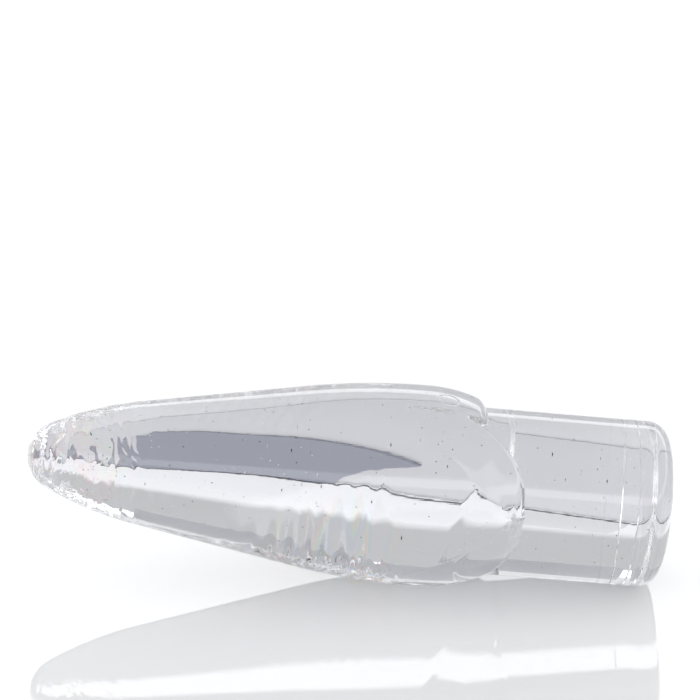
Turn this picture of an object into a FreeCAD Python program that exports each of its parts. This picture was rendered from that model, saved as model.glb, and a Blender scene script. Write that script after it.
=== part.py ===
import FreeCAD, Part
import math
import os

# Guitar slide of the bar kind: a clear plastic bullet nose with a scalloped rear edge,
# a clear grip rod cemented into its socket, and a round-edged cap on the rod's end.
# Millimetres, +Z up. Every solid is drawn lying along +X with the nose tip at x = 0,
# then the whole slide is laid down on its belly and on the cap with one placement.

# Driving dimensions
total_length = 80.2
belly_r = 12.7
belly_at = 49.5
rod_r = 10.5
tip_r = 4.5
cone_half_deg = 10.1
ogive_r = 44.8
belly_arc_r = 88.0
socket_at = 38.0
cap_length = 4.5
cap_round = 2.6

# Rear edge of the nose, behind the belly: two side tongues and two lobes between them
tongue_end = 60.9
tongue_half_height = 11.6
tongue_corner_height = 9.1
tongue_arc_r = 62.0
lobe_end = 56.0
lobe_half_width = 5.0
lobe_arc_r = 19.0
gate_mark_r = 1.3
gate_mark_at = 51.6
gate_mark_deg = 14.0
gate_mark_depth = 0.3

# Bond line and the way the slide lies at rest
bond_gap = 0.04
rest_roll_deg = -6.0

# Derived sizes
socket_r = rod_r + bond_gap
cap_at = total_length - cap_length
cone = math.radians(cone_half_deg)

X_AXIS = FreeCAD.Vector(1, 0, 0)
Y_AXIS = FreeCAD.Vector(0, 1, 0)
ORIGIN = FreeCAD.Vector(0, 0, 0)


def point(x, r):
    """A point of the half section: x along the slide, r out from its axis."""
    return FreeCAD.Vector(x, 0, r)


def arc(centre, radius, from_deg, to_deg):
    """Arc in the half section, angles measured from +X towards +r."""
    ends = []
    for angle in (from_deg, 0.5 * (from_deg + to_deg), to_deg):
        a = math.radians(angle)
        ends.append(point(centre[0] + radius * math.cos(a), centre[1] + radius * math.sin(a)))
    return Part.Arc(ends[0], ends[1], ends[2]).toShape()


def turned(edges):
    """Solid of revolution about the slide's axis from a chain that starts and ends on it."""
    first = edges[0].firstVertex().Point
    last = edges[-1].lastVertex().Point
    wire = Part.Wire(Part.__sortEdges__(edges + [Part.makeLine(last, first)]))
    return Part.Face(wire).revolve(ORIGIN, X_AXIS, 360)


def rod(radius, x_from, x_to):
    return Part.makeCylinder(radius, x_to - x_from, point(x_from, 0), X_AXIS)


# Outer nose profile, worked forward from the belly: belly arc, straight cone,
# ogive arc and tip sphere, each tangent to the next.
belly_centre = (belly_at, belly_r - belly_arc_r)
cone_end = (belly_centre[0] - belly_arc_r * math.sin(cone), belly_centre[1] + belly_arc_r * math.cos(cone))


def nose_chain():
    """Slope and points where the profile's arcs meet, found by closing the tip on the axis at x = 0."""
    low = cone
    high = math.radians(85)
    for _ in range(60):
        slope = 0.5 * (low + high)
        tip_joint_x = tip_r - tip_r * math.sin(slope)
        tip_joint_r = tip_r * math.cos(slope)
        ogive_end_x = tip_joint_x + ogive_r * (math.sin(slope) - math.sin(cone))
        ogive_end_r = tip_joint_r + ogive_r * (math.cos(cone) - math.cos(slope))
        cone_r_there = cone_end[1] - (cone_end[0] - ogive_end_x) * math.tan(cone)
        if ogive_end_r < cone_r_there:
            low = slope
        else:
            high = slope
    return slope, (tip_joint_x, tip_joint_r), (ogive_end_x, ogive_end_r)


tip_slope, tip_joint, ogive_joint = nose_chain()
ogive_centre = (tip_joint[0] + ogive_r * math.sin(tip_slope), tip_joint[1] - ogive_r * math.cos(tip_slope))


def outer_solid(rear_arc_r, rear_x):
    """The nose turned solid, with the arc behind the belly of the given radius."""
    rear_centre = (belly_at, belly_r - rear_arc_r)
    rear_deg = math.degrees(math.acos((rear_x - belly_at) / rear_arc_r))
    rear_r = rear_centre[1] + rear_arc_r * math.sin(math.radians(rear_deg))
    tip_deg = 90 + math.degrees(tip_slope)
    edges = [
        arc((tip_r, 0), tip_r, 180, tip_deg),
        arc(ogive_centre, ogive_r, tip_deg, 90 + cone_half_deg),
        Part.makeLine(point(*ogive_joint), point(*cone_end)),
        arc(belly_centre, belly_arc_r, 90 + cone_half_deg, 90),
        arc(rear_centre, rear_arc_r, 90, rear_deg),
        Part.makeLine(point(rear_x, rear_r), point(rear_x, 0)),
    ]
    return turned(edges)


def tongue_corner(sign):
    """Quarter ellipse from a tongue's straight edge to its flat end, above or below the middle."""
    steps = 24
    corner_z = tongue_half_height - tongue_corner_height
    points = []
    for i in range(steps + 1):
        a = math.pi / 2 * i / steps
        x = belly_at + (tongue_end - belly_at) * math.sin(a)
        z = corner_z + tongue_corner_height * math.cos(a)
        points.append(FreeCAD.Vector(x, 0, sign * z))
    curve = Part.BSplineCurve()
    curve.interpolate(points)
    return curve.toShape(), points[0], points[-1]


def tongue_prism():
    """Side view of the tongues, run straight across the slide."""
    upper, upper_start, upper_end = tongue_corner(1)
    lower, lower_start, lower_end = tongue_corner(-1)
    front_top = upper_start - X_AXIS
    front_bottom = lower_start - X_AXIS
    edges = [upper, lower]
    edges.append(Part.makeLine(upper_end, lower_end))
    edges.append(Part.makeLine(upper_start, front_top))
    edges.append(Part.makeLine(front_top, front_bottom))
    edges.append(Part.makeLine(front_bottom, lower_start))
    face = Part.Face(Part.Wire(Part.__sortEdges__(edges)))
    face.translate(FreeCAD.Vector(0, -2 * belly_r, 0))
    return face.extrude(FreeCAD.Vector(0, 4 * belly_r, 0))


def nose_body():
    rear_cut = rod(2 * belly_r, belly_at, total_length)
    front = outer_solid(belly_arc_r, tongue_end + 1).cut(rear_cut)
    behind = rod(2 * belly_r, belly_at, tongue_end)
    tongues = outer_solid(tongue_arc_r, tongue_end + 1).common(behind).common(tongue_prism())
    lobe_corner = FreeCAD.Vector(belly_at, -lobe_half_width, -2 * belly_r)
    lobe_box = Part.makeBox(lobe_end - belly_at, 2 * lobe_half_width, 4 * belly_r, lobe_corner)
    lobes = outer_solid(lobe_arc_r, tongue_end).common(lobe_box)
    body = front.fuse([tongues, lobes])
    body = body.cut(rod(socket_r, socket_at, total_length))
    mark_base = FreeCAD.Vector(gate_mark_at, 0, belly_r - gate_mark_depth)
    mark = Part.makeCylinder(gate_mark_r, belly_r, mark_base)
    mark.rotate(ORIGIN, X_AXIS, gate_mark_deg)
    return body.cut(mark).removeSplitter()


def grip_rod():
    return rod(rod_r, socket_at, cap_at)


def end_cap():
    cap = rod(rod_r, cap_at, total_length)
    rim = [edge for edge in cap.Edges if abs(edge.BoundBox.XMin - total_length) < 1e-4]
    return cap.makeFillet(cap_round, rim)


def rest_tilt():
    """Tilt in radians at which the lobe behind the belly and the cap touch the table together."""
    run = (total_length - cap_round) - belly_at
    rise = (rod_r - cap_round) - (belly_r - lobe_arc_r)
    reach = lobe_arc_r - cap_round
    return math.atan2(run, rise) - math.acos(reach / math.hypot(run, rise))


nodes = {
    "nose_body": nose_body(),
    "grip_rod": grip_rod(),
    "end_cap": end_cap(),
}

roll = FreeCAD.Rotation(X_AXIS, rest_roll_deg)
tilt = FreeCAD.Rotation(Y_AXIS, math.degrees(rest_tilt()))
turn = FreeCAD.Placement(ORIGIN, tilt.multiply(roll))
for shape in nodes.values():
    shape.Placement = turn.multiply(shape.Placement)

box = Part.makeCompound(list(nodes.values())).optimalBoundingBox(False, False)
lift = FreeCAD.Vector(-box.Center.x, -box.Center.y, -box.ZMin)
os.makedirs("parts", exist_ok=True)
for name, shape in nodes.items():
    shape.translate(lift)
    shape.exportStep("parts/" + name + ".step")
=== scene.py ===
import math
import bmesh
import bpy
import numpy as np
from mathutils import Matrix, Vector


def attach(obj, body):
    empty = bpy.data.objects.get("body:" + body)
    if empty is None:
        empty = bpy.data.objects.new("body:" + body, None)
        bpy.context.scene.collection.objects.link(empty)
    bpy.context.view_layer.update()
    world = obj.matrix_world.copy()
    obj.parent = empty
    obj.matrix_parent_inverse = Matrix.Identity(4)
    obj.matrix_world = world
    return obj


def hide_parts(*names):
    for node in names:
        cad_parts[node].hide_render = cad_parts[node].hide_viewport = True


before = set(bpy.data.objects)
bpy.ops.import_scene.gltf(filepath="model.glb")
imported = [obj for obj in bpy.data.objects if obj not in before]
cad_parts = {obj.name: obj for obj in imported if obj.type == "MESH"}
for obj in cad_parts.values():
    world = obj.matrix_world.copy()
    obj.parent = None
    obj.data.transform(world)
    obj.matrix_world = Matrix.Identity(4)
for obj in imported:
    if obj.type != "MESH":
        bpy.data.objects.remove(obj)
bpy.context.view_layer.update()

# %% [markdown]
# # A clear guitar slide
# The real object is a solid bar of water-clear acrylic in three pieces: a bullet nose with a scalloped
# rear edge, a straight grip rod cemented into it, and a cap with a rounded edge cemented on the rod's end.
# Clear plastic shows nothing of its own and bends what stands round it. A mesh shaped by hand would
# wobble, and each wobble would kink what is seen through it. So every surface here is a formula, and the
# studio is worked out with as much care as the slide.

TOTAL, BELLY_AT, BELLY_R = 80.2, 49.5, 12.7
ROD_R, CAP_AT, CAP_ROUND = 10.5, 75.7, 2.6
TIP_R, OGIVE_R, BELLY_ARC, TONGUE_ARC, LOBE_ARC = 4.5, 44.8, 88.0, 62.0, 19.0

# %% [markdown]
# ## Lying on the table
# The slide lies on the lobe behind its belly and on the edge of its cap, so its nose points up a little.
# Both are arcs in the side view, so the table is the line that touches two circles, and the tilt follows.
# The shape is worked out along the slide's own axis first, where it is simple: s runs from the nose tip
# to the flat end, and the angle runs round. One function then rolls it, tips it and lifts it into place.
# Turning the object in Blender would look the same, but then its mesh would no longer hold its place.

# %% How the slide lies
ROLL = math.radians(-6.0)
CAP_S, CAP_R = TOTAL - CAP_ROUND, ROD_R - CAP_ROUND
run, rise = CAP_S - BELLY_AT, CAP_R - (BELLY_R - LOBE_ARC)
TILT = math.atan2(run, rise) - math.acos((LOBE_ARC - CAP_ROUND) / math.hypot(run, rise))
front = TIP_R * math.cos(TILT) - TIP_R
rear = CAP_S * math.cos(TILT) + CAP_R * math.sin(TILT) + CAP_ROUND
drop = CAP_S * math.sin(TILT) + CAP_R * math.cos(TILT) + CAP_ROUND
LIFT = np.array([-(front + rear) / 2, 0.0, drop])
print("tilt in degrees:", round(math.degrees(TILT), 3), "moved by", LIFT.round(3).tolist(), "mm")

# %% From the slide's own axis to the table
def lay_down(s, r, angle):
    """Point at distance s along the axis, r from it, at this angle round it; then roll, tilt and lift."""
    y = r * np.cos(angle)
    z = r * np.sin(angle)
    y, z = y * math.cos(ROLL) - z * math.sin(ROLL), y * math.sin(ROLL) + z * math.cos(ROLL)
    x = s * math.cos(TILT) + z * math.sin(TILT)
    z = -s * math.sin(TILT) + z * math.cos(TILT)
    return (np.stack([x, y, z], axis=-1) + LIFT) / 1000.0


print("nose tip in mm:", (lay_down(0.0, 0.0, 0.0) * 1000).round(2).tolist())

# %% [markdown]
# ## Rows of points
# The bar is turned on a lathe in effect. Its section is a list of rows, each row is a loop of points round
# the axis, and each end closes in a pole. Blender's own Spin tool would make every row a true circle, but
# the rear edge of the nose isn't one, so the rows are joined here.

# %% From rows of points to a closed mesh
def closed_mesh(name, points):
    """Grid of rows by columns. The columns wrap round the axis, and a pole closes each end."""
    rows, cols = points.shape[:2]
    row = np.arange(rows - 1)[:, None] * cols
    col = np.arange(cols)[None, :]
    after = (col + 1) % cols
    quads = np.stack([row + col, row + after, row + cols + after, row + cols + col], axis=-1)
    verts = np.vstack([points.reshape(-1, 3), points[0].mean(0), points[-1].mean(0)])
    front, rear, last = rows * cols, rows * cols + 1, (rows - 1) * cols
    col, after = col[0], after[0]
    fan_front = np.stack([np.full(cols, front), after, col], axis=1)
    fan_rear = np.stack([np.full(cols, rear), last + col, last + after], axis=1)
    faces = quads.reshape(-1, 4).tolist() + fan_front.tolist() + fan_rear.tolist()
    mesh = bpy.data.meshes.new(name)
    mesh.from_pydata(verts.tolist(), [], faces)
    mesh.validate()
    obj = bpy.data.objects.new(name, mesh)
    bpy.context.scene.collection.objects.link(obj)
    print(name, "rows", rows, "columns", cols)
    return obj

# %% Faces outwards, smooth, and fixed to the frame
def finish_piece(obj, sharp_deg):
    """Turn the faces outwards, shade smooth but keep edges over the angle crisp, and hang it on the frame."""
    bm = bmesh.new()
    bm.from_mesh(obj.data)
    bmesh.ops.recalc_face_normals(bm, faces=bm.faces)
    volume = bm.calc_volume(signed=True)
    bm.to_mesh(obj.data)
    bm.free()
    obj.data.shade_smooth()
    obj.data.set_sharp_from_angle(angle=math.radians(sharp_deg))
    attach(obj, "root")
    print(obj.name, "faces", len(obj.data.polygons), "volume cm3", round(volume * 1e6, 2))
    return obj

# %% [markdown]
# ## The nose's outer line
# From the tip: a small sphere, a long ogive arc, a straight cone of 10.1 degrees and the belly's arc, each
# tangent to the next. A free curve through a few points would look much the same as an outline. Through
# the bar it wouldn't, because light bends at every change of curve. Behind the belly the two side tongues
# keep its gentle arc, and the two lobes between them fall away on a tighter one.

# %% Where sphere, ogive and cone meet
CONE = math.radians(10.1)
CONE_END = BELLY_AT - BELLY_ARC * math.sin(CONE)
CONE_END_R = BELLY_R - BELLY_ARC * (1 - math.cos(CONE))


def tip_slope():
    """The slope where tip sphere and ogive meet, found by halving until the ogive also meets the cone."""
    low, high = CONE, math.radians(85)
    for _ in range(60):
        m = 0.5 * (low + high)
        s = TIP_R * (1 - math.sin(m)) + OGIVE_R * (math.sin(m) - math.sin(CONE))
        r = TIP_R * math.cos(m) + OGIVE_R * (math.cos(CONE) - math.cos(m))
        low, high = (m, high) if r < CONE_END_R - (CONE_END - s) * math.tan(CONE) else (low, m)
    return m, s


SLOPE, OGIVE_END = tip_slope()
TIP_END = TIP_R * (1 - math.sin(SLOPE))
print("sphere to", round(TIP_END, 2), "ogive to", round(OGIVE_END, 2), "cone to", round(CONE_END, 2))

# %% Outer radius along the nose
def outer_radius(s, rear_arc):
    """Radius at s: sphere, ogive arc, cone, belly arc, then an arc of the given radius behind the belly."""
    sphere = np.sqrt(np.maximum(TIP_R**2 - (s - TIP_R) ** 2, 0))
    ox, oy = TIP_END + OGIVE_R * math.sin(SLOPE), (TIP_R - OGIVE_R) * math.cos(SLOPE)
    ogive = oy + np.sqrt(np.maximum(OGIVE_R**2 - (s - ox) ** 2, 0))
    cone = CONE_END_R - (CONE_END - s) * math.tan(CONE)
    belly = BELLY_R - BELLY_ARC + np.sqrt(np.maximum(BELLY_ARC**2 - (s - BELLY_AT) ** 2, 0))
    rear = BELLY_R - rear_arc + np.sqrt(np.maximum(rear_arc**2 - (s - BELLY_AT) ** 2, 0))
    ends = [s < TIP_END, s < OGIVE_END, s < CONE_END, s < BELLY_AT]
    return np.select(ends, [sphere, ogive, cone, belly], rear)


at = np.array([10.0, 30.0, 49.5, 58.0])
print("radius at", at.tolist(), "is", outer_radius(at, TONGUE_ARC).round(2).tolist())

# %% [markdown]
# ## The scalloped rear edge
# Seen from the side each tongue has a short straight end and two long elliptical corners. The cut was run
# straight across the part, so its place depends on height above the middle and not on the angle alone.
# A boolean cut would make the same edge, but it leaves uneven triangles beside it that clear plastic would
# show. The lobes at top and bottom end bluntly.

# %% Where a tongue ends
TONGUE_END, SCALLOP_AT, LOBE_END = 60.9, 49.5, 56.0
TONGUE_HALF, CORNER_H = 11.6, 9.1


def tongue_edge(height):
    """Edge position at this height above the slide's middle: a straight end, then a quarter ellipse."""
    t = np.clip((np.abs(height) - (TONGUE_HALF - CORNER_H)) / CORNER_H, 0, 1)
    return SCALLOP_AT + (TONGUE_END - SCALLOP_AT) * np.sqrt(1 - t**2)


print("edge at heights 0, 6 and 11 mm:", tongue_edge(np.array([0.0, 6.0, 11.0])).round(2).tolist())

# %% Which angles belong to the lobes
LOBE_HALF, LOBE_SIDE_R, LOBE_STEP = 5.0, 12.1, 0.07
LOBE_ANGLE = math.asin(LOBE_HALF / LOBE_SIDE_R)


def lobe_share(angle):
    """1 on the top and bottom lobes, 0 on the tongues, with an S-shaped step 4 degrees wide between."""
    off = np.minimum(np.abs(angle - math.pi / 2), np.abs(angle - 1.5 * math.pi))
    share = np.clip((LOBE_ANGLE + LOBE_STEP / 2 - off) / LOBE_STEP, 0, 1)
    return share**2 * (3 - 2 * share)


ANGLES = np.linspace(0, 2 * math.pi, 520, endpoint=False)
print("angles:", len(ANGLES), "of them on the lobes:", int((lobe_share(ANGLES) > 0.5).sum()))

# %% [markdown]
# ## The bevel round each tongue
# Inside its edge each tongue carries a wide, shallow bevel. The bevel's crest is a pointed arch, broad in
# front and narrow behind, and it shows because light crosses it at two slopes. A Bevel modifier would
# follow the edge at one width, so the depth is worked out from the arch instead.

# %% How deep the bevel is
ARCH_S = [45.6, 46.4, 48.6, 50.8, 53.1, 54.8, 55.9, 57.0, 58.4, 59.6]
ARCH_H = [11.4, 10.4, 8.9, 7.6, 6.1, 4.7, 3.6, 2.6, 1.8, 0.0]
ARCH_FRONT, BEVEL_DEPTH, BEVEL_RUN_IN = ARCH_S[0], 0.42, 3.0


def bevel(s, height):
    """Depth taken off: nothing inside the arch, then growing from its crest to the tongue's edge."""
    crest = np.interp(s, ARCH_S, ARCH_H)
    t = np.clip((s - SCALLOP_AT) / (TONGUE_END - SCALLOP_AT), 0, 1)
    edge = TONGUE_HALF - CORNER_H + CORNER_H * np.sqrt(1 - t**2)
    share = np.clip((np.abs(height) - crest) / np.maximum(edge - crest, 0.4), 0, 1)
    return BEVEL_DEPTH * share**0.6 * np.clip((s - ARCH_FRONT) / BEVEL_RUN_IN, 0, 1)


heights = np.array([3.0, 5.0, 8.0])
print("bevel 55 mm along, at heights", heights.tolist(), "is", bevel(55.0, heights).round(2).tolist())

# %% The nose's skin and where it ends
def skin(s, angle):
    """Nose radius: the tongue's arc less its bevel, turning into the lobe's arc as lobe_share says."""
    tongue = outer_radius(s, TONGUE_ARC)
    tongue = tongue - bevel(s, tongue * np.sin(angle))
    return tongue + (outer_radius(s, LOBE_ARC) - tongue) * lobe_share(angle)


def rear_edge(angle):
    """Edge position by angle. The edge depends on height, and height on the skin's radius at the edge, so
    the two are worked out in turn until they agree."""
    edge = tongue_edge(BELLY_R * np.sin(angle))
    for _ in range(8):
        edge = tongue_edge(skin(edge, angle) * np.sin(angle))
    return edge + (LOBE_END - edge) * lobe_share(angle)


EDGE = rear_edge(ANGLES)
print("rear edge from", round(float(EDGE.min()), 2), "to", round(float(EDGE.max()), 2))

# %% [markdown]
# ## Three pieces, one surface
# The three pieces are cemented, and the cement bends light as the acrylic does, so no wall shows between
# them. Three closed meshes a hair apart would be the obvious way. But light would cross air in each gap
# and the bar would look cut. So one surface runs from pole to pole over nose, rod and cap, and a groove
# 0.1 mm deep marks the cap's joint.

# %% Rows over the nose
def steps(start, end, count):
    """Even rows from start to end at every angle, without the start, which the rows before it hold."""
    return start + (end - start) * np.linspace(0, 1, count)[1:, None]


EDGE_ROUND = 0.5
EVERY = np.ones_like(ANGLES)
# From the pole the rows follow a square law, which packs them where the tip curves most
tip = TIP_END * np.linspace(0.02, 1, 16)[:, None] ** 2 * EVERY
ogive = steps(TIP_END * EVERY, OGIVE_END * EVERY, 22)
cone = steps(OGIVE_END * EVERY, ARCH_FRONT * EVERY, 30)
back = steps(ARCH_FRONT * EVERY, EDGE - EDGE_ROUND, 46)
nose_s = np.vstack([tip, ogive, cone, back])
nose_r = skin(nose_s, ANGLES)
print("rows over the nose:", len(nose_s), "widest radius:", round(float(nose_r.max()), 3))

# %% Rows round the rear edge and down its wall
WALL_SLOPE, BEND_SHARE = 0.7, 0.45
start = np.stack([EDGE - EDGE_ROUND, skin(EDGE - EDGE_ROUND, ANGLES)])
corner = np.stack([EDGE, skin(EDGE, ANGLES)])
foot = np.stack([EDGE + WALL_SLOPE * (corner[1] - ROD_R), ROD_R * EVERY])
end = corner + (foot - corner) * BEND_SHARE
# A quadratic curve: it leaves the skin along it, is drawn to the corner, and joins the wall along it
t = np.linspace(0, 1, 8)[1:, None, None]
bend = (1 - t) ** 2 * start + 2 * t * (1 - t) * corner + t**2 * end
wall = end + (foot - end) * np.linspace(0, 1, 5)[1:, None, None]
edge_s, edge_r = np.concatenate([bend, wall]).transpose(1, 0, 2)
print("rows round the edge:", len(edge_s), "step down to the rod:", round(float(corner[1].max() - ROD_R), 2))

# %% Rows along the rod, through the groove and over the cap
GROOVE = 0.10
rod_s = steps(foot[0], CAP_AT - GROOVE, 30)
turn = np.linspace(0, math.pi / 2, 20)[1:]
side = np.linspace(CAP_AT + GROOVE, CAP_S, 6)
hub = CAP_R * np.linspace(1, 0.02, 8)[1:]
rounded_s = CAP_S + CAP_ROUND * np.sin(turn)
rounded_r = CAP_R + CAP_ROUND * np.cos(turn)
cap_s = np.concatenate([[CAP_AT], side, rounded_s, np.full_like(hub, TOTAL)])[:, None] * EVERY
cap_r = np.concatenate([[ROD_R - GROOVE], np.full_like(side, ROD_R), rounded_r, hub])[:, None] * EVERY
print("rows along the rod:", len(rod_s), "over the cap:", len(cap_s))

# %% The clear bar
bar_s = np.vstack([nose_s, edge_s, rod_s, cap_s])
bar_r = np.vstack([nose_r, edge_r, np.full_like(rod_s, ROD_R), cap_r])
bar = finish_piece(closed_mesh("clear_bar", lay_down(bar_s, bar_r, ANGLES[None, :])), 35)
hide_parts("nose_body", "grip_rod", "end_cap")

# %% [markdown]
# ## Acrylic
# Moulded acrylic bends light a little less than window glass: its index is 1.49. A plain glass shader
# would be too perfect. The real skin has flow ripples frozen in near the tip and along the underside,
# fine lengthwise scratches, a gate mark, pale rainbow stress patches and dust. Each is a pattern in real
# millimetres, added one at a time.

# %% Colours and nodes
def linear(code):
    """sRGB hex to the linear values that the shader wants, opaque."""
    c = np.array([int(code[i:i + 2], 16) for i in (0, 2, 4)]) / 255.0
    c = np.where(c <= 0.04045, c / 12.92, ((c + 0.055) / 1.055) ** 2.4)
    return (*c.tolist(), 1.0)


def add(tree, kind, settings=None, inputs=None):
    """One node with its settings. An input is a value, a socket, or a node, which gives its first output."""
    node = tree.nodes.new(kind)
    for key, value in (settings or {}).items():
        setattr(node, key, value)
    for key, value in (inputs or {}).items():
        if isinstance(value, bpy.types.Node):
            value = value.outputs[0]
        if isinstance(value, bpy.types.NodeSocket):
            tree.links.new(value, node.inputs[key])
        else:
            node.inputs[key].default_value = value
    return node


def new_material(name):
    """An empty node material."""
    mat = bpy.data.materials.new(name)
    mat.use_nodes = True
    mat.node_tree.nodes.clear()
    return mat, mat.node_tree


SUM, TIMES = {"operation": "ADD"}, {"operation": "MULTIPLY"}
LESS, SQUARE = {"operation": "SUBTRACT"}, {"operation": "POWER"}
ABOVE, BELOW = {"operation": "GREATER_THAN"}, {"operation": "LESS_THAN"}
LARGER = {"operation": "MAXIMUM"}
# Between two places the value falls from 1 to 0, slowly at both ends
FALL, DOWN = {"interpolation_type": "SMOOTHSTEP"}, {"To Min": 1.0, "To Max": 0.0}
print("clear tint in linear values:", [round(v, 3) for v in linear("F1F1F4")[:3]])

# %% Place on the slide in millimetres, and where the skin was worked
acrylic, tree = new_material("moulded_acrylic")
where = add(tree, "ShaderNodeTexCoord")
mm = add(tree, "ShaderNodeVectorMath", {"operation": "SCALE"}, {"Scale": 1000.0, 0: where.outputs["Object"]})
x, y, z = add(tree, "ShaderNodeSeparateXYZ", inputs={0: mm}).outputs
near_tip = add(tree, "ShaderNodeMapRange", FALL, {"Value": x, "From Min": -37.0, "From Max": -22.0, **DOWN})
low_down = add(tree, "ShaderNodeMapRange", FALL, {"Value": z, "From Min": 5.0, "From Max": 9.0, **DOWN})
forward = add(tree, "ShaderNodeMapRange", FALL, {"Value": x, "From Min": 3.0, "From Max": 8.0, **DOWN})
under = add(tree, "ShaderNodeMath", TIMES, {0: low_down, 1: forward})
print("worked near the tip and under the nose:", len(tree.nodes), "nodes so far")

# %% [markdown]
# Flow ripples come from plastic that cools as it moves: bent bands 2.4 mm apart, crossed by looser
# swirls about 5 mm across. Their height is chosen as tall as it takes to show. Modelled ripples
# would need millions of faces, and a bump bends light as well, because it is the slope that bends it.

# %% Flow ripples and swirls
bent = {"Scale": 0.13, "Distortion": 7.0, "Detail": 1.5, "Detail Scale": 0.9, "Detail Roughness": 0.4}
bands = add(tree, "ShaderNodeTexWave", {"bands_direction": "X"}, {"Vector": mm, **bent})
loose = {"Scale": 0.22, "Detail": 1.0, "Distortion": 2.2}
swirl = add(tree, "ShaderNodeTexNoise", inputs={"Vector": mm, **loose})
tip_bands = add(tree, "ShaderNodeMath", TIMES, {0: near_tip, 1: 3.5})
tip_swirl = add(tree, "ShaderNodeMath", TIMES, {0: near_tip, 1: 11.0})
below = add(tree, "ShaderNodeMath", TIMES, {0: under, 1: 5.0})
band_share = add(tree, "ShaderNodeMath", SUM, {0: tip_bands, 1: below})
swirl_share = add(tree, "ShaderNodeMath", SUM, {0: tip_swirl, 1: below})
ripple = add(tree, "ShaderNodeMath", TIMES, {0: bands.outputs["Fac"], 1: band_share})
curl = add(tree, "ShaderNodeMath", TIMES, {0: swirl, 1: swirl_share})
flow = add(tree, "ShaderNodeMath", SUM, {0: ripple, 1: curl})
# The wave texture repeats each time that twenty times its scaled place grows by a full circle
print("ripples", round(2 * math.pi / (20 * bent["Scale"]), 1), "mm apart")
print("swirls about", round(1 / loose["Scale"], 1), "mm across")

# %% Scratches: noise drawn out forty times along the bar
drawn = add(tree, "ShaderNodeVectorMath", {"operation": "MULTIPLY"}, {0: mm, 1: (0.15, 6.0, 6.0)})
scratch = add(tree, "ShaderNodeTexNoise", inputs={"Vector": drawn, "Scale": 1.0, "Detail": 3.0})
fine = add(tree, "ShaderNodeMath", TIMES, {0: scratch, 1: 0.05})
marked = add(tree, "ShaderNodeMath", SUM, {0: flow, 1: fine})
print("scratches about", round(1 / 6, 2), "mm apart and", round(1 / 0.15, 1), "mm long")

# %% Gate mark: a disc 2.6 mm across, let in on the top lobe
GATE_X, GATE_Y, GATE_ABOVE = 12.1, -1.75, 20.0
from_x = add(tree, "ShaderNodeMath", LESS, {0: x, 1: GATE_X})
from_y = add(tree, "ShaderNodeMath", LESS, {0: y, 1: GATE_Y})
square_x = add(tree, "ShaderNodeMath", SQUARE, {0: from_x, 1: 2.0})
square_y = add(tree, "ShaderNodeMath", SQUARE, {0: from_y, 1: 2.0})
square = add(tree, "ShaderNodeMath", SUM, {0: square_x, 1: square_y})
rim = {"From Min": 1.4, "From Max": 2.0, **DOWN}
round_spot = add(tree, "ShaderNodeMapRange", FALL, {"Value": square, **rim})
on_top = add(tree, "ShaderNodeMath", ABOVE, {0: z, 1: GATE_ABOVE})
disc = add(tree, "ShaderNodeMath", TIMES, {0: round_spot, 1: on_top})
let_in = add(tree, "ShaderNodeMath", TIMES, {0: disc, 1: 3.0})
height = add(tree, "ShaderNodeMath", LESS, {0: marked, 1: let_in})
bump = add(tree, "ShaderNodeBump", inputs={"Strength": 1.0, "Distance": 3.0e-5, "Height": height})
print("gate mark", GATE_X, "mm behind the middle, radius", round(math.sqrt(1.7), 2), "mm")

# %% [markdown]
# Stressed plastic splits light into faint colours. True polarised stress can't be drawn by a shader here,
# so a stretched noise picks pale tints, only where the flow was worked, and the rest stays nearly clear.

# %% Stress colours
CLEAR = "F1F1F4"
patches = {"Scale": 0.2, "Detail": 0.5, "Distortion": 1.2}
stress = add(tree, "ShaderNodeTexNoise", inputs={"Vector": mm, **patches})
hues = add(tree, "ShaderNodeValToRGB", inputs={0: stress})
BLUE, GREEN, YELLOW, ROSE = "DCE6FF", "DDFBEA", "FFF6D2", "FFDDE2"
tints = [(0.42, CLEAR), (0.47, BLUE), (0.51, GREEN), (0.54, YELLOW), (0.58, ROSE), (0.64, CLEAR)]
while len(hues.color_ramp.elements) < len(tints):
    hues.color_ramp.elements.new(0.5)
for element, (at, code) in zip(hues.color_ramp.elements, tints):
    element.position = at
    element.color = linear(code)
tip_stress = add(tree, "ShaderNodeMath", TIMES, {0: near_tip, 1: 0.45})
worked = add(tree, "ShaderNodeMath", LARGER, {0: tip_stress, 1: under})
body = add(tree, "ShaderNodeMix", {"data_type": "RGBA"}, {0: worked, 6: linear(CLEAR), 7: hues})
print("stress patches about", round(1 / patches["Scale"], 1), "mm across, in", len(tints) - 2, "tints")

# %% Dust: sparse specks 0.15 mm across, some pale and some dark
cells = add(tree, "ShaderNodeTexVoronoi", inputs={"Vector": mm, "Scale": 1.1})
speck = add(tree, "ShaderNodeMath", BELOW, {0: cells.outputs["Distance"], 1: 0.08})
tone = add(tree, "ShaderNodeSeparateColor", inputs={0: cells.outputs["Color"]})
pale = add(tree, "ShaderNodeMath", ABOVE, {0: tone, 1: 0.45})
shade = add(tree, "ShaderNodeMath", TIMES, {0: pale, 1: 0.85})
grey = add(tree, "ShaderNodeCombineXYZ", inputs={0: shade, 1: shade, 2: shade})
dust = add(tree, "ShaderNodeBsdfDiffuse", inputs={"Color": grey})
print("specks across in mm:", round(2 * 0.08 / 1.1, 2))

# %% The finished acrylic
polish = {"Roughness": 0.0, "IOR": 1.49, "Transmission Weight": 1.0}
look = {"Base Color": body.outputs[2], "Normal": bump}
polished = add(tree, "ShaderNodeBsdfPrincipled", inputs={**polish, **look})
dusty = add(tree, "ShaderNodeMixShader", inputs={0: speck, 1: polished, 2: dust})
add(tree, "ShaderNodeOutputMaterial", inputs={"Surface": dusty})
bar.data.materials.append(acrylic)
print(acrylic.name, "has", len(tree.nodes), "nodes")

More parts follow.
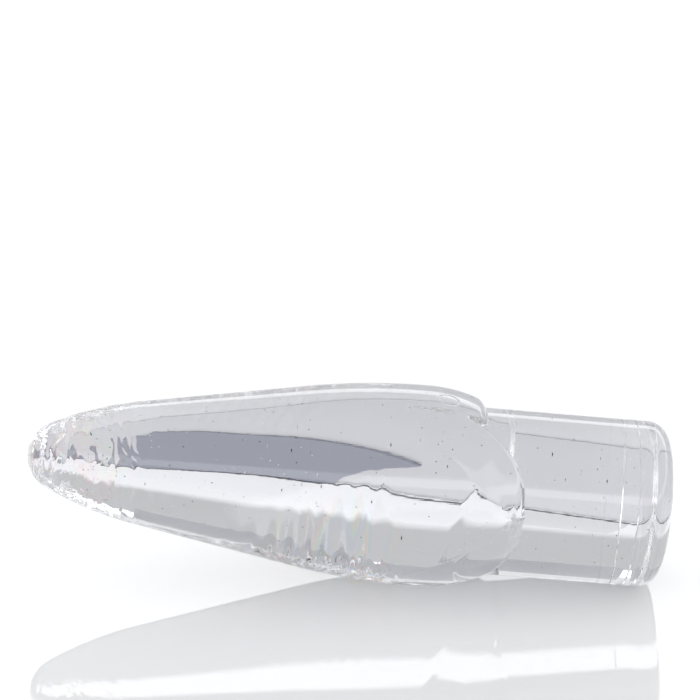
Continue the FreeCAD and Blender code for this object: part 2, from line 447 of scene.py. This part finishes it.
# %% [markdown]
# ## The studio
# A white gloss sheet lies under the slide and ends just behind it. Seen at a low angle it mirrors the
# bright screen behind. Seen steeply, as through the bar, it shows only its own soft grey, and past its
# edge the surround is light again. The bar turns all this upside down, which draws the thin dark line
# along its middle. Lines painted on the bar would look right from one side only. These move as real ones.

# %% Materials of the sheet and the cards
def gloss_sheet(name, code):
    """Cast opal acrylic: an even diffuse body under a smooth, reflecting face."""
    mat, tree = new_material(name)
    opal = {"Base Color": linear(code), "Roughness": 0.02, "IOR": 1.6}
    face = add(tree, "ShaderNodeBsdfPrincipled", inputs=opal)
    add(tree, "ShaderNodeOutputMaterial", inputs={"Surface": face})
    return mat


def matt_card(name, code):
    """Uncoated card: only a diffuse face, so it never mirrors the screen."""
    mat, tree = new_material(name)
    face = add(tree, "ShaderNodeBsdfDiffuse", inputs={"Color": linear(code)})
    add(tree, "ShaderNodeOutputMaterial", inputs={"Surface": face})
    return mat


print("slate card in linear values:", [round(v, 3) for v in linear("9C9FA9")[:3]])

# %% A flat sheet, and the line along which the big one ends
def flat_sheet(name, outline, low, high, mat):
    """A flat sheet: an outline of (x, y) in millimetres, stood up from the low face to the high one."""
    n = len(outline)
    v = [(x / 1000, y / 1000, z / 1000) for z in (low, high) for x, y in outline]
    sides = [(k, (k + 1) % n, n + (k + 1) % n, n + k) for k in range(n)]
    mesh = bpy.data.meshes.new(name)
    mesh.from_pydata(v, [], [tuple(reversed(range(n))), tuple(range(n, 2 * n))] + sides)
    obj = bpy.data.objects.new(name, mesh)
    bpy.context.scene.collection.objects.link(obj)
    obj.data.materials.append(mat)
    print(name, "is", round(max(p[0] for p in outline) - min(p[0] for p in outline), 1), "mm wide")


def back_edge(start, end, count, inset):
    """Points along the sheet's rear edge, set in by so much: nearly straight, bowing away past the nose."""
    x = np.linspace(start, end, count)
    y = 33.2 - 0.05 * x + 0.014 * np.minimum(x, 0) ** 2 - inset
    return list(zip(x.tolist(), y.tolist()))


end_line = back_edge(-45, 45, 46, 0.0)
outline = [(-500, -600), (500, -600), (500, end_line[-1][1]), *reversed(end_line), (-500, end_line[0][1])]
flat_sheet("sheet", outline, -8, 0, gloss_sheet("opal_gloss_sheet", "E2E2E3"))

# %% [markdown]
# ## Cards behind the slide, painting its shadow
# Two cards here are painted shadow. A grey card lies on the sheet's rear strip with a slate one on it,
# standing in for the slide's own shadow on the table behind it, where the slide itself hides them.
# Dark tape runs along the sheet's edge as a painted contact shadow. Past the edge, a pale card and a
# white one lie a little lower. Where each card goes was found by following the light back through the bar.

# %% Cards laid flat: painted shadow behind the slide, plain cards past the edge
near = [(-30, 24.0), (-26, 19.0), (-20, 17.0), (40, 17.0)]
far = back_edge(-30, 40, 38, 0.05)
# Painted shadow: a grey matt card on the floor behind the slide, where its own shadow falls
flat_sheet("painted_shadow_grey_card", near + far[::-1], 0.0, 0.2, matt_card("painted_shadow_grey_matt", "D7D7D9"))
# Painted shadow: the darker slate card marks the deepest part of the slide's shadow behind it
near = [(-21.5, 35), (-22.6, 28), (-22.8, 24), (-21, 22.1), (-15.4, 22.1), (-8.6, 23.2), (-2.4, 23.9)]
near += [(3.7, 25.2), (7.9, 26.0), (10.2, 26.6), (6.9, 27.8), (4.8, 28.8), (3.2, 31)]
far = back_edge(-21, 3, 12, 0.05)
flat_sheet("painted_shadow_slate_card", near + far[::-1], 0.2, 0.4, matt_card("painted_shadow_slate_matt", "9C9FA9"))
# Painted contact shadow: dark tape along the sheet's edge, which the bar shows as the thin dark line along
# its middle
near, far = back_edge(-30, 40, 38, 0.28), back_edge(-30, 40, 38, 0.0)
flat_sheet("painted_contact_shadow_tape", near + far[::-1], 0.4, 0.5, matt_card("painted_contact_shadow_matt", "4A4D55"))
pale_square = [(22, 30), (40, 30), (40, 56), (22, 56)]
flat_sheet("pale_card", pale_square, -1.0, -0.8, matt_card("pale_matt_card", "DEDEDE"))
white_square = [(-24, 30), (22, 30), (22, 58), (-24, 58)]
flat_sheet("white_card", white_square, -1.0, -0.8, matt_card("white_matt_card", "F4F4F5"))

# %% [markdown]
# One more card is upright: a low grey ribbon that follows the slide's back. It hangs clear of the sheet
# with nothing drawn to hold it, which a studio would do with wire. Without it the bright screen would
# reach the slide's lower rim and wash it out.

# %% The low screen
def low_screen(name, mat):
    """A ribbon behind the slide. Its distance and its two edges follow the slide's radius all along."""
    x = np.linspace(-23, 38, 60)
    along = (x - LIFT[0]) / math.cos(TILT)
    radius = np.where(along < 58, outer_radius(along, TONGUE_ARC), ROD_R)
    middle = LIFT[2] - along * math.sin(TILT)
    y = 1.82 * radius
    low = middle - 0.26 * radius
    high = middle + 1.02 * radius - 0.36 * y - 0.9
    v = [(a / 1000, b / 1000, c / 1000) for row in (low, high) for a, b, c in zip(x, y, row)]
    n = len(x)
    mesh = bpy.data.meshes.new(name)
    mesh.from_pydata(v, [], [(k, k + 1, n + k + 1, n + k) for k in range(n - 1)])
    obj = bpy.data.objects.new(name, mesh)
    bpy.context.scene.collection.objects.link(obj)
    obj.data.materials.append(mat)
    print(name, "from", round(float(low.min()), 1), "to", round(float(high.max()), 1), "mm high")


low_screen("low_screen", matt_card("light_grey_card", "DCDCDF"))

# %% [markdown]
# ## Light
# The light is one soft surround, because small lamps would leave sharp sparks in clear plastic. It is
# given by height: even above, a bright screen from 20 to 28 degrees up, which the sheet mirrors as white,
# and dim down to the horizon, which gives the bar its grey rims. Below, where it shows only past the
# sheet's edge, it is light again.

# %% The surround
BRIGHTEST = 6.0
# Pairs of height, from -1 straight down to 1 straight up, and brightness
LEVELS = [(-1.0, 1.04), (-0.15, 1.04), (-0.09, 0.60), (0.31, 0.60)]
LEVELS += [(0.34, 2.7), (0.47, 2.7), (0.51, 0.97), (1.0, 0.97)]
world = bpy.data.worlds.new("studio")
bpy.context.scene.world = world
world.use_nodes = True
tree = world.node_tree
ray = add(tree, "ShaderNodeTexCoord")
sky_z = add(tree, "ShaderNodeSeparateXYZ", inputs={0: ray.outputs["Generated"]}).outputs[2]
rise = add(tree, "ShaderNodeMapRange", inputs={"Value": sky_z, "From Min": -1.0, "From Max": 1.0})
levels = add(tree, "ShaderNodeValToRGB", inputs={0: rise})
stops = levels.color_ramp.elements
while len(stops) < len(LEVELS):
    stops.new(0.5)
for stop, (sky, level) in zip(stops, LEVELS):
    share = level / BRIGHTEST
    stop.position = (sky + 1) / 2
    stop.color = (share * 0.985, share * 0.992, share, 1)
surround = tree.nodes["Background"]
surround.inputs[1].default_value = BRIGHTEST
tree.links.new(levels.outputs[0], surround.inputs[0])
print("bright screen between", [round(math.degrees(math.asin(v))) for v in (0.34, 0.47)], "degrees up")

# %% [markdown]
# ## Camera and bounces
# The camera looks down on the slide's side from about 42 cm, with a long lens that keeps it free of
# distortion. Light is turned many times inside clear plastic, at the cap most of all, and with too few
# bounces it ends in black lines. So 32 are allowed.

# %% Camera
LENS, AWAY = 171.0, 0.4187
elev, azim, down, twist = (math.radians(v) for v in (22.774, -2.7236, 20.4665, 1.4846))
aim = Vector((-0.0003, 0, 0.01284))
eye = aim + AWAY * Vector((math.cos(elev) * math.sin(azim), -math.cos(elev) * math.cos(azim), math.sin(elev)))
ahead = Vector((-math.sin(azim) * math.cos(down), math.cos(azim) * math.cos(down), -math.sin(down)))
right = ahead.cross(Vector((0, 0, 1))).normalized()
up = right.cross(ahead)
right, up = right * math.cos(twist) + up * math.sin(twist), up * math.cos(twist) - right * math.sin(twist)
cam = bpy.data.cameras.new("camera")
cam.sensor_width = 36.0
cam.lens = LENS
camera = bpy.data.objects.new("camera", cam)
camera.matrix_world = Matrix.Translation(eye) @ Matrix((right, up, -ahead)).transposed().to_4x4()
bpy.context.scene.collection.objects.link(camera)
bpy.context.scene.camera = camera
bpy.context.scene.view_settings.view_transform = "Standard"
print("camera at", [round(v, 3) for v in eye])

# %% Bounces
BOUNCES = 32
bpy.context.scene.cycles.max_bounces = BOUNCES
bpy.context.scene.cycles.transmission_bounces = BOUNCES
bpy.context.scene.cycles.glossy_bounces = BOUNCES
print("bounces:", BOUNCES)
